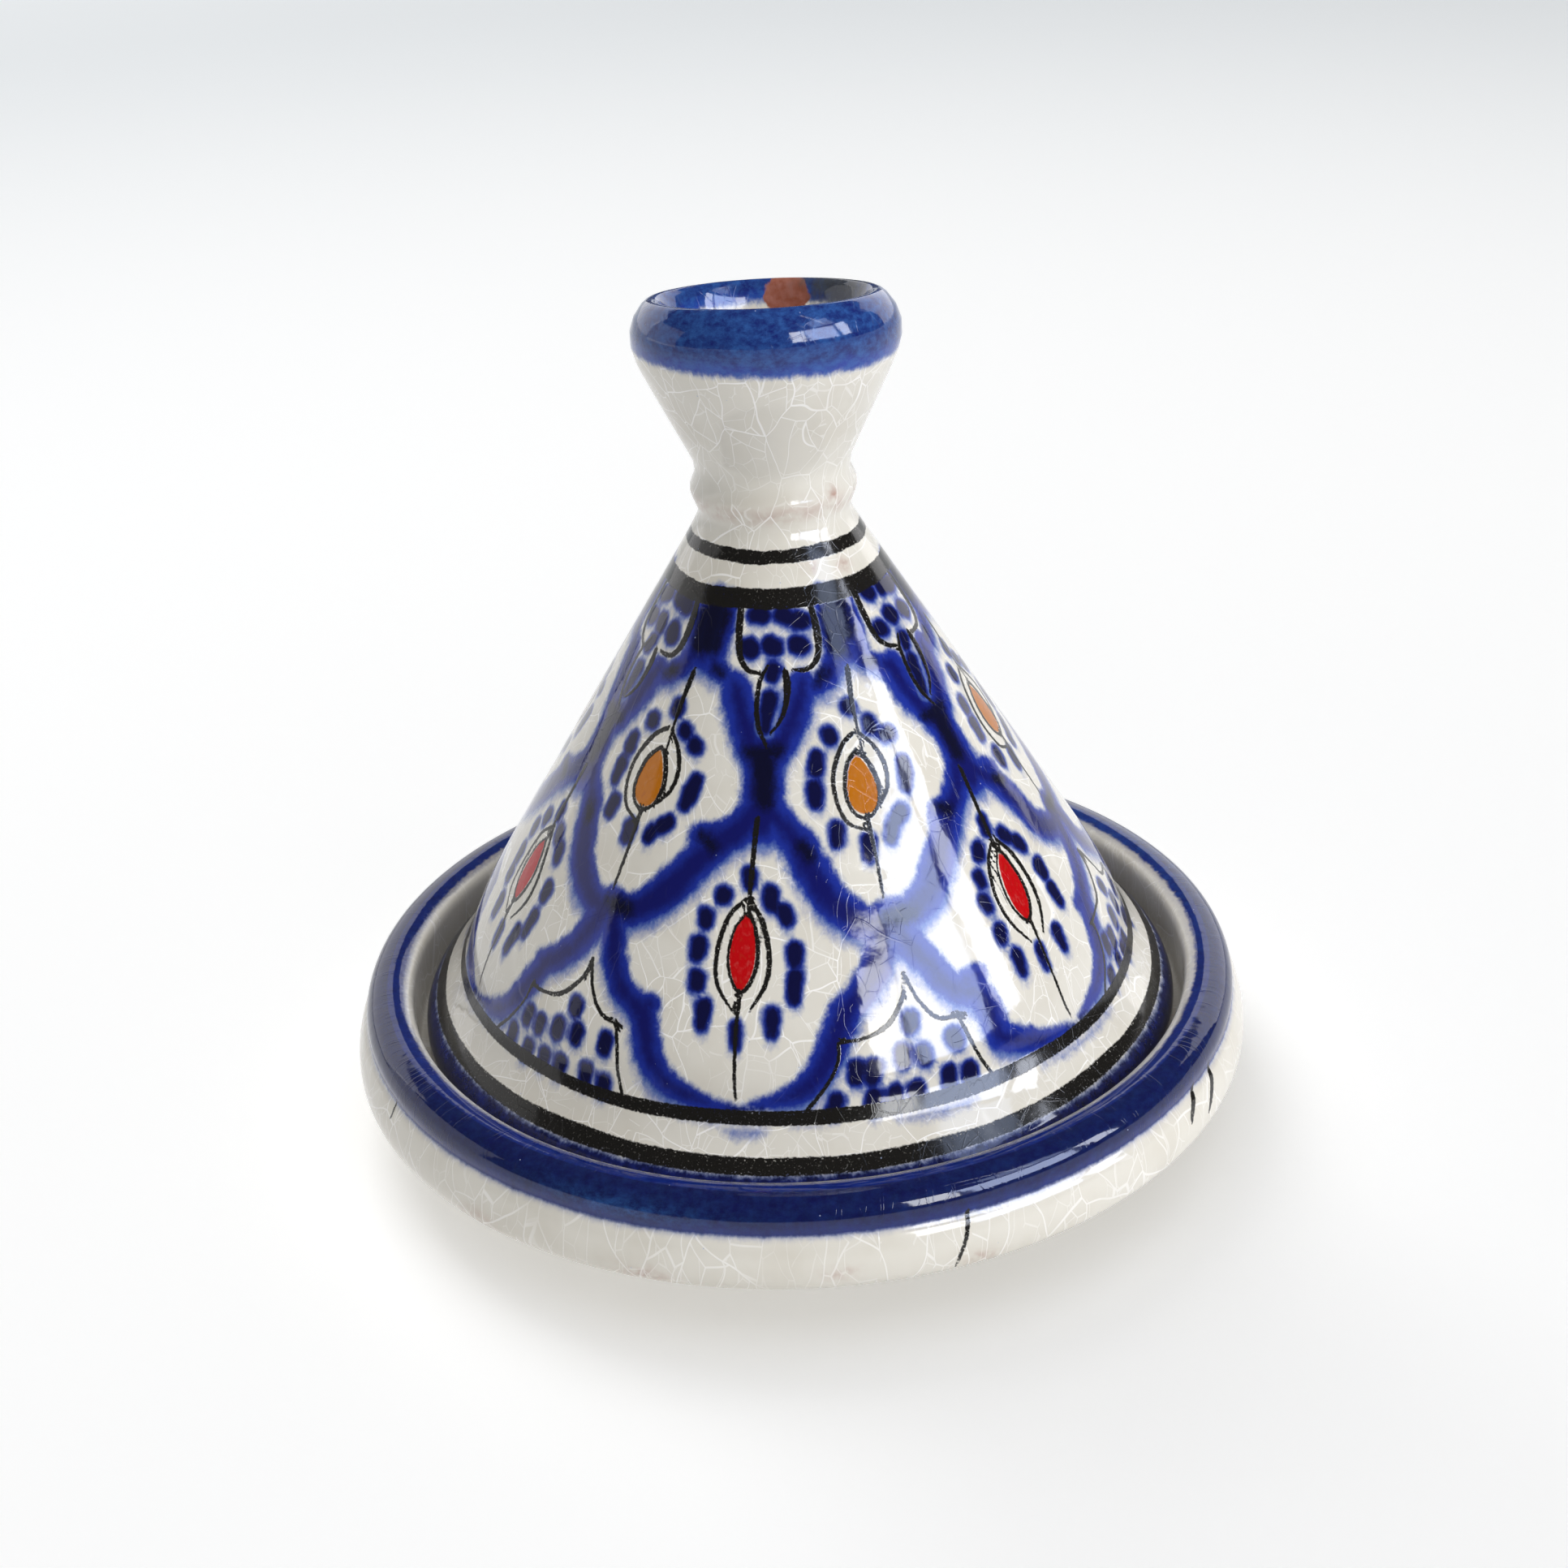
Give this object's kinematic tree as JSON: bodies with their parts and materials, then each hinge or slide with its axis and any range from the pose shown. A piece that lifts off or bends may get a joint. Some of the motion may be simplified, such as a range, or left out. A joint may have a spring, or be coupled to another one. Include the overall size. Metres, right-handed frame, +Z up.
{
  "type": "tagine pot",
  "caption": "Small painted tagine pot: a shallow footed dish with a rolled rim and a lift-off conical lid topped by a hollow cup handle.",
  "frame": {"origin": "middle of the foot, on the surface the pot stands on", "axes": "+Z up along the axis that both pieces are turned about; +X to the right and -Y to the front as the pot is usually seen"},
  "size_m": [0.103, 0.103, 0.0932],
  "materials": {
    "dish_glaze": "glossy crackled tin glaze over earthenware, cobalt blue rim",
    "lid_glaze": "glossy crackled tin glaze over earthenware, painted in cobalt blue, black, orange and red"
  },
  "bodies": {
    "dish": {"base_dish": "dish_glaze"},
    "lid": {"conical_lid": "lid_glaze"}
  },
  "joints": [
    {"name": "lid_lift", "type": "slide", "parent": "dish", "child": "lid", "axis": [0, 0, 1], "range_m": [0, 0.06]}
  ]
}
